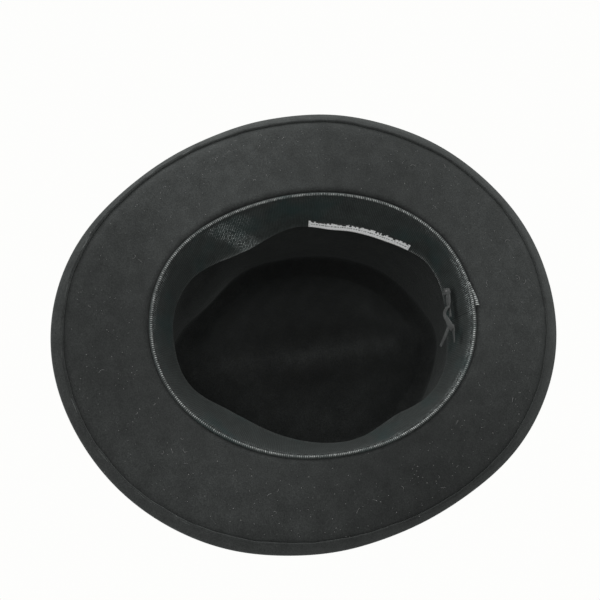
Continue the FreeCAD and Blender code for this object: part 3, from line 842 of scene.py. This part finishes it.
# ----------------------------------------------------------------- label
nu, nv = 300, 30
aa = np.radians(np.linspace(34.5, 83.7, nu))
vv = np.linspace(0, 1, nv)
AAg, VVg = np.meshgrid(aa, vv)
ZZg = 24.3 + 5.2 * VVg
F = on_band(AAg, ZZg, 0.42)
g = np.random.default_rng(5)
top_cut = np.zeros(nu)
i = 0
while i < nu:
    w_ = int(g.integers(2, 9))
    top_cut[i:i + w_] = g.uniform(0.0, 0.36)
    i += w_
ends_ = np.minimum(np.arange(nu), nu - 1 - np.arange(nu)) < 7
top_cut[ends_] = 0.0
dash = np.zeros(nu)
i = 9
while i < nu - 9:
    w_ = int(g.integers(2, 7))
    dash[i:i + w_] = g.uniform(0.55, 1.0)
    i += w_ + int(g.integers(1, 5))
ink = np.where(VVg < top_cut[None], 1.0, 0.0)
ink = np.maximum(ink, np.where((VVg > 0.45) & (VVg < 0.60), dash[None], 0.0))
label = slab("maker_label", F, 0.22, {"ink": ink})
paint(outward(label), LABEL)
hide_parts("label")
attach(label, "hat")
paths = []
for i in range(34):
    a0 = math.radians(35.2 + 47.6 * i / 34)
    for z in (24.8, 29.1):
        paths.append(on_band(np.linspace(a0, a0 + 0.011, 4), np.full(4, z), np.array([0.45, 0.58, 0.58, 0.45])))
for z0 in (24.7, 26.3, 27.8):
    for d in (35.1, 83.1):
        paths.append(on_band(np.full(4, math.radians(d)), np.linspace(z0, z0 + 1.1, 4), np.array([0.45, 0.58, 0.58, 0.45])))
lst = paint(outward(tubes("label_stitches_fine", paths, 0.09)), PALE)
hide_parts("label_stitches")
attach(lst, "hat")

# ------------------------------------------------------ outside hat band
NB = 480 * 5
UB = 2 * PI * np.arange(NB) / NB
zs = np.array([5.2, 5.5, 6.0, 7.2, 10, 14, 19, 24, 29, 34, 38, 39.8, 40.7, 41.1, 41.3])
hb, hr_, fo_ = [], [], []
h = rib(UB / (2 * PI / 480))
for j, z in enumerate(zs):
    sel = 1.0 if 1 < j < len(zs) - 2 else 0.5
    e = wall_e(z) + 0.95 + 0.17 * h * sel + (0.12 if j in (2, 3, len(zs) - 3, len(zs) - 4) else 0.0)
    slack = 0.25 * np.sin(7 * UB + 0.4) * ((z - 5) / 36.0) ** 2
    hb.append(at(UB, e + np.maximum(0, slack), z))
    hr_.append(h)
    fo_.append(np.zeros(NB))
bk = [at(UB, wall_e(z) + 0.12, z) for z in zs[::-1]]
sec = np.array(hb + bk)
z0 = np.zeros((len(bk), NB))
band = new_object("hat_band_ribbon", sec.reshape(-1, 3), quads(len(sec), NB, True, True),
                  {"rib": np.concatenate([np.array(hr_), z0]), "fold": np.concatenate([np.array(fo_), z0]),
                   "painted_glint": np.concatenate([np.array(fo_), z0])})
paint(outward(band), HATRIB)
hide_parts("hat_band")
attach(band, "hat")


def bow_piece(name, d0, d1, z0, z1, base, bulge, t, cad, pinch_=None, cut=0.0, extra=None):
    """Ribbon of the side bow between azimuths d0 and d1, in degrees."""
    arc = abs(d1 - d0) / 360 * 480
    nu, nv = max(24, int(arc * 6)), 26
    u = np.linspace(0, 1, nu)
    v = np.linspace(0, 1, nv)
    Ug, Vg = np.meshgrid(u, v)
    Ag = np.radians(d0 + (d1 - d0) * Ug)
    zc, half = (z0 + z1) / 2, (z1 - z0) / 2
    k = np.ones_like(Ug) if pinch_ is None else pinch_(Ug)
    Zg = zc + (Vg * 2 - 1) * half * k
    if cut:
        Ag = Ag + math.radians(cut) * (Vg - 0.5) * (1 - Ug) ** 3
    hr = rib(Ag / (2 * PI / 480))
    pl = 0.22 * np.sin(Vg * PI * 5 + 3 * Ug) * (1 - k) * 2.0 if pinch_ is not None else 0.0
    bul = bulge * np.sin(PI * Ug) ** 0.6 * (1 - 0.35 * (2 * Vg - 1) ** 2)
    E = wall_e(Zg) + 0.95 + base + t + bul + 0.15 * hr + pl
    F = at(Ag, E, Zg)
    ob = slab(name, F, t, {"rib": hr, "fold": hr * 0, "painted_glint": hr * 0})
    paint(outward(ob), HATRIB)
    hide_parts(cad)
    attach(ob, "hat")
    return ob


bow1 = bow_piece("side_bow_tail", 60, 88, 6.4, 40.0, 0.30, 0.0, 0.6, "hat_band_bow_tail", cut=5.0)
bow2 = bow_piece("side_bow_back_loop", 70, 111, 6.8, 39.6, 1.2, 1.1, 0.7,
                 "hat_band_bow_back_loop",
                 pinch_=lambda u: 1 - 0.10 * np.exp(-((u - 0.49) / 0.13) ** 2))
bow3 = bow_piece("side_bow_front_loop_a", 75, 88.5, 7.4, 39.0, 3.3, 1.2, 0.7,
                 "hat_band_bow_front_loop", pinch_=lambda u: 1 - 0.16 * smooth((u - 0.45) / 0.5))
bow4 = bow_piece("side_bow_front_loop_b", 91.5, 105, 7.4, 39.0, 3.3, 1.2, 0.7,
                 "hat_band_bow_front_loop", pinch_=lambda u: 1 - 0.16 * smooth((0.55 - u) / 0.5))
bow5 = bow_piece("side_bow_knot", 86.0, 94.0, 5.6, 40.8, 4.6, 0.7, 0.9, "hat_band_bow_knot")
paths = []
for d in (15, 50, 130, 165, 195, 230, 265, 300, 340):
    aa = np.linspace(math.radians(d), math.radians(d) + 0.022, 5)
    e = wall_e(40.2) + 0.95 + np.array([0.0, 0.34, 0.40, 0.34, 0.0])
    paths.append(at(aa, e, np.full(5, 40.2)))
tk = paint(outward(tubes("band_tacks", paths, 0.16)), THREAD)
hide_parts("hat_band_tacks")
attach(tk, "hat")


# ------------------------------------------------- small bow at the back
def lean_in(z):
    bz = [1.1, 5.0, 16.0, 30.0]

    def lean(q):
        return -0.18 - 12.2 * max(0.0, (q - 2.0) / 28.0) ** 1.15

    for p, q in zip(bz, bz[1:]):
        if z <= q:
            return lean(p) + (lean(q) - lean(p)) * (z - p) / (q - p) - 0.9
    return lean(z) - 0.9


ta, tz = math.radians(7.7), 18.0
P0 = at(ta, lean_in(tz), tz)
T = at(math.radians(-14.2), lean_in(tz + 1), tz + 1) - P0
T /= np.linalg.norm(T)
Wv = at(ta, lean_in(tz + 5), tz + 5) - at(ta, lean_in(tz - 5), tz - 5)
Wv -= T * (Wv @ T)
Wv /= np.linalg.norm(Wv)
Q = np.cross(T, Wv)
if Q[1] > 0:
    Q = -Q


def loc(t, w, q):
    t, w, q = np.broadcast_arrays(np.asarray(t, float), w, q)
    return P0 + t[..., None] * T + w[..., None] * Wv + q[..., None] * Q


def spline(pts, n):
    pts = np.asarray(pts, float)
    p = np.concatenate([[2 * pts[0] - pts[1]], pts, [2 * pts[-1] - pts[-2]]])
    out = []
    m = len(pts) - 1
    for x in np.linspace(0, m - 1e-6, n):
        i = int(x)
        t = x - i
        a, b, c, d = p[i], p[i + 1], p[i + 2], p[i + 3]
        out.append(0.5 * (2 * b + (c - a) * t + (2 * a - 5 * b + 4 * c - d) * t * t
                          + (3 * b - a - 3 * c + d) * t ** 3))
    return np.array(out)


def small_ribbon(name, pts, width, thick=0.32, roll=0.0, cup=0.25, n=60):
    """Narrow ribbon along points (t, w, q), lying roughly square to Q."""
    c = spline(pts, n)
    tan = np.gradient(c, axis=0)
    tan /= np.linalg.norm(tan, axis=1, keepdims=True)
    side = np.stack([-tan[:, 1], tan[:, 0], np.zeros(len(c))], -1)
    side /= np.maximum(1e-6, np.linalg.norm(side, axis=1, keepdims=True))
    up = np.cross(tan, side)
    ang = np.radians(roll) * np.linspace(0, 1, n) if np.isscalar(roll) else \
        np.radians(np.interp(np.linspace(0, 1, n), np.linspace(0, 1, len(roll)), roll))
    s2 = side * np.cos(ang)[:, None] + up * np.sin(ang)[:, None]
    u2 = np.cross(tan, s2)
    w = np.full(n, width) if np.isscalar(width) else \
        np.interp(np.linspace(0, 1, n), np.linspace(0, 1, len(width)), width)
    nv = 9
    rows = []
    for v in np.linspace(-0.5, 0.5, nv):
        rows.append(c + s2 * (v * w)[:, None] + u2 * (cup * (4 * v * v - 1) * -0.5))
    F = np.array(rows)
    length = np.concatenate([[0], np.cumsum(np.linalg.norm(np.diff(c, axis=0), axis=1))])
    hr = np.broadcast_to(rib(length / 0.55), F.shape[:2])
    F3 = loc(F[..., 0], F[..., 1], F[..., 2])
    # painted highlight: the ribbon's crests and both its edges painted lighter
    edge = np.abs(np.linspace(-1, 1, nv))[:, None] ** 4 * np.ones((1, n))
    return slab(name, F3, thick, {"rib": np.clip(hr * 0.6 + edge * 0.5, 0, 1), "fold": hr * 0, "painted_glint": hr * 0})


BQ = 1.6


def own(ob, cad):
    paint(outward(ob), BOWRIB)
    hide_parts(cad)
    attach(ob, "back_bow")
    return ob


tg_u = np.linspace(0, 1, 26)
tg_v = np.linspace(0, 1, 22)
UU, VV = np.meshgrid(tg_u, tg_v)
c_a, c_b, c_c, c_d = (np.array(v) for v in ((-2.7, 2.6), (-1.4, -2.5), (1.7, -3.7), (1.5, 4.2)))
xy = ((1 - UU) * (1 - VV))[..., None] * c_a + (UU * (1 - VV))[..., None] * c_b \
    + (UU * VV)[..., None] * c_c + ((1 - UU) * VV)[..., None] * c_d
qq = BQ + 0.9 + 0.35 * np.sin(UU * PI) * np.sin(VV * PI) + 0.12 * np.sin(UU * 11 + VV * 3)
hr = rib(xy[..., 1] / 0.55)
# painted highlight: the tab's rib crests painted lighter
tab = slab("inner_bow_tab", loc(xy[..., 0], xy[..., 1], qq), 0.5,
           {"rib": np.clip(0.45 + 0.4 * hr, 0, 1), "fold": hr * 0, "painted_glint": hr * 0})
own(tab, "back_bow_tab")
own(small_ribbon("inner_bow_loop_a", [(1.4, -1.0, BQ + 0.9), (4.4, -0.7, BQ + 1.0), (7.4, -0.4, BQ + 0.9),
                                      (10.6, -0.3, BQ + 0.8), (13.6, -1.2, BQ + 0.9), (17.2, -1.6, BQ + 1.2)],
                 (3.6, 3.9, 3.6, 3.0, 2.0, 2.2), roll=(0, 10, -8, 0)), "back_bow_loops")
own(small_ribbon("inner_bow_loop_b", [(10.2, -2.6, BQ + 1.8), (11.0, -0.9, BQ + 2.4), (12.4, 0.9, BQ + 2.8),
                                      (14.4, 1.9, BQ + 2.9), (16.6, 1.7, BQ + 2.8), (18.6, 0.2, BQ + 2.7)],
                 (1.3, 1.8, 2.1, 2.2, 2.3, 2.4), roll=(0, 18, 24, 6), n=80), "back_bow_loops")
own(small_ribbon("inner_bow_knot", [(16.6, 0.9, BQ + 2.3), (18.6, -0.3, BQ + 2.9), (21.0, -1.9, BQ + 3.1),
                                    (23.6, -3.4, BQ + 2.9), (26.0, -4.9, BQ + 2.5)],
                 (2.2, 3.2, 3.6, 3.9, 3.7), cup=0.5, n=80, roll=(0, 8, 10, 0)), "back_bow_knot")
own(small_ribbon("inner_bow_tail_a", [(21.8, -1.6, BQ + 2.2), (24.8, 0.2, BQ + 2.6), (27.4, 2.7, BQ + 2.5),
                                      (30.4, 6.0, BQ + 2.3), (33.9, 9.5, BQ + 2.5)],
                 (1.8, 2.2, 2.0, 1.9, 1.8), roll=(0, 14, 20, 12, 8)), "back_bow_tails")
own(small_ribbon("inner_bow_tail_b", [(23.4, -4.2, BQ + 2.0), (26.6, -5.1, BQ + 2.3), (29.4, -5.3, BQ + 2.4),
                                      (32.0, -5.1, BQ + 2.2), (34.4, -4.9, BQ + 2.1)],
                 (3.4, 3.4, 2.9, 2.2, 1.5), roll=(0, -12, -20, -20, -10)), "back_bow_tails")
paint(NODES["back_bow_tack"], PALE)

# ------------------------------------------------------------- lint
fine_a = np.linspace(0, 2 * PI, 721)
bt = Brim(fine_a)


def brim_points(a, s, lift):
    b = Brim(np.asarray(a, float))
    return b.at(np.asarray(s, float), -0.0 + np.asarray(lift, float))


def curl(a0, s0, size, turns, kind, g):
    """A loose fibre lying on the underside near azimuth a0, s0."""
    n = 22
    t = np.linspace(0, 1, n)
    th = g.uniform(0, 2 * PI) + turns * 2 * PI * t * (1 if g.random() < 0.5 else -1)
    step = size / n
    x = np.cumsum(np.cos(th)) * step
    y = np.cumsum(np.sin(th)) * step
    rr = 120.0
    lift = 0.10 + 0.35 * np.sin(PI * t) * g.uniform(0.2, 1.0)
    s = np.clip(s0 + y, 3.0, 43.0)
    return brim_points(a0 + x / rr, s, lift)


paths = []
g = np.random.default_rng(21)
for _ in range(48):
    a0 = g.uniform(0, 2 * PI)
    s0 = g.uniform(6, 42)
    paths.append(curl(a0, s0, g.uniform(1.2, 4.4), g.uniform(0.02, 0.5), 0, g))
fib = paint(outward(tubes("lint_fibres", paths, 0.055, sides=5, taper=0.6)), LINT)
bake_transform(fib)

V_, F_ = [], []
ico = np.array([[1, 0, 0], [-1, 0, 0], [0, 1, 0], [0, -1, 0], [0, 0, 1], [0, 0, -1]], float)
icof = [(0, 2, 4), (2, 1, 4), (1, 3, 4), (3, 0, 4), (2, 0, 5), (1, 2, 5), (3, 1, 5), (0, 3, 5)]
n_sp = 620
sa = g.uniform(0, 2 * PI, n_sp)
ss = 5 + 38 * g.uniform(0, 1, n_sp) ** 0.85
sp = brim_points(sa, ss, np.full(n_sp, 0.10))
for c in sp:
    r = g.uniform(0.07, 0.20)
    off = len(V_)
    q = g.normal(size=3)
    q /= np.linalg.norm(q)
    for v in ico:
        w = v * r * np.array([1, 1, 0.6])
        w = w + q * (w @ q) * g.uniform(0.0, 1.2)
        V_.append(c + w)
    F_ += [tuple(off + k for k in f) for f in icof]
spk = paint(new_object("lint_specks", np.array(V_), F_), LINT)
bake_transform(spk)

# ------------------------------------------------------ stage and lights
lo, hi = CAD_BOX
low = float(lo[2])
me = bpy.data.meshes.new("floor")
w = 3.0
me.from_pydata([(-w, -w, low - 0.0005), (w, -w, low - 0.0005), (w, w, low - 0.0005),
                (-w, w, low - 0.0005)], [], [(0, 1, 2, 3)])
floor = bpy.data.objects.new("floor", me)
bpy.context.scene.collection.objects.link(floor)
fm = bpy.data.materials.new("floor_white")
fm.use_nodes = True
nt = fm.node_tree
pb = nt.nodes["Principled BSDF"]
pb.inputs["Base Color"].default_value = (0.88, 0.88, 0.87, 1)
pb.inputs["Roughness"].default_value = 0.9
pb.inputs["Specular IOR Level"].default_value = 0.0
geo = nt.nodes.new("ShaderNodeNewGeometry")
tr = nt.nodes.new("ShaderNodeBsdfTransparent")
mx = nt.nodes.new("ShaderNodeMixShader")
nt.links.new(geo.outputs["Backfacing"], mx.inputs[0])
nt.links.new(pb.outputs[0], mx.inputs[1])
nt.links.new(tr.outputs[0], mx.inputs[2])
nt.links.new(mx.outputs[0], nt.nodes["Material Output"].inputs["Surface"])
floor.data.materials.append(fm)
floor.visible_diffuse = False
floor.visible_glossy = False
floor.visible_shadow = False

scene = bpy.context.scene
world = bpy.data.worlds.new("white")
world.use_nodes = True
bg = world.node_tree.nodes["Background"]
bg.inputs["Color"].default_value = (0.985, 0.985, 0.975, 1)
bg.inputs["Strength"].default_value = 0.667
wt = world.node_tree
seen = wt.nodes.new("ShaderNodeBackground")
seen.inputs["Color"].default_value = (0.985, 0.985, 0.975, 1)
seen.inputs["Strength"].default_value = 1.0
way = wt.nodes.new("ShaderNodeLightPath")
either = wt.nodes.new("ShaderNodeMixShader")
wt.links.new(way.outputs["Is Camera Ray"], either.inputs[0])
wt.links.new(bg.outputs[0], either.inputs[1])
wt.links.new(seen.outputs[0], either.inputs[2])
wt.links.new(either.outputs[0], wt.nodes["World Output"].inputs["Surface"])
scene.world = world
scene.view_settings.view_transform = "Standard"

# camera, under the hat and looking up into it
cam_c = np.array([-0.166832, -0.079166, -0.619156])
cam_r = np.array([-0.142762, 0.987087, -0.072656])
cam_u = np.array([0.950060, 0.116085, -0.289674])
cam_d = np.array([0.277499, 0.110382, 0.954364])
cd = bpy.data.cameras.new("camera")
cd.sensor_width = 36.0
cd.lens = 63.6
cam = bpy.data.objects.new("camera", cd)
scene.collection.objects.link(cam)
from mathutils import Matrix, Vector

mw = Matrix.Identity(4)
for i in range(3):
    mw[i][0], mw[i][1], mw[i][2], mw[i][3] = cam_r[i], cam_u[i], -cam_d[i], cam_c[i]
cam.matrix_world = mw
scene.camera = cam


def area(name, pos, target, size, power, color=(1, 1, 1)):
    d = bpy.data.lights.new(name, "AREA")
    d.energy = power
    d.size = size
    d.color = color
    o = bpy.data.objects.new(name, d)
    scene.collection.objects.link(o)
    z = (Vector(pos) - Vector(target)).normalized()
    o.rotation_euler = z.to_track_quat("Z", "Y").to_euler()
    o.location = pos
    return o


ctr = np.array([0.0, 0.0, 0.02])
for tilt, turn, power in ((80, 135, 3.73), (80, 90, 2.93), (80, 180, 1.99), (25, 135, 1.25),
                          (25, 90, 0.63)):
    tt, gg = math.radians(tilt), math.radians(turn)
    v = -cam_d * math.cos(tt) + (cam_r * math.cos(gg) + cam_u * math.sin(gg)) * math.sin(tt)
    area("soft_%d_%d" % (tilt, turn), (ctr + v * 1.1).tolist(), ctr.tolist(), 0.6, power)
area("top", (-0.5, -0.5, 1.0), (0, 0, 0.05), 0.8, 9.0)
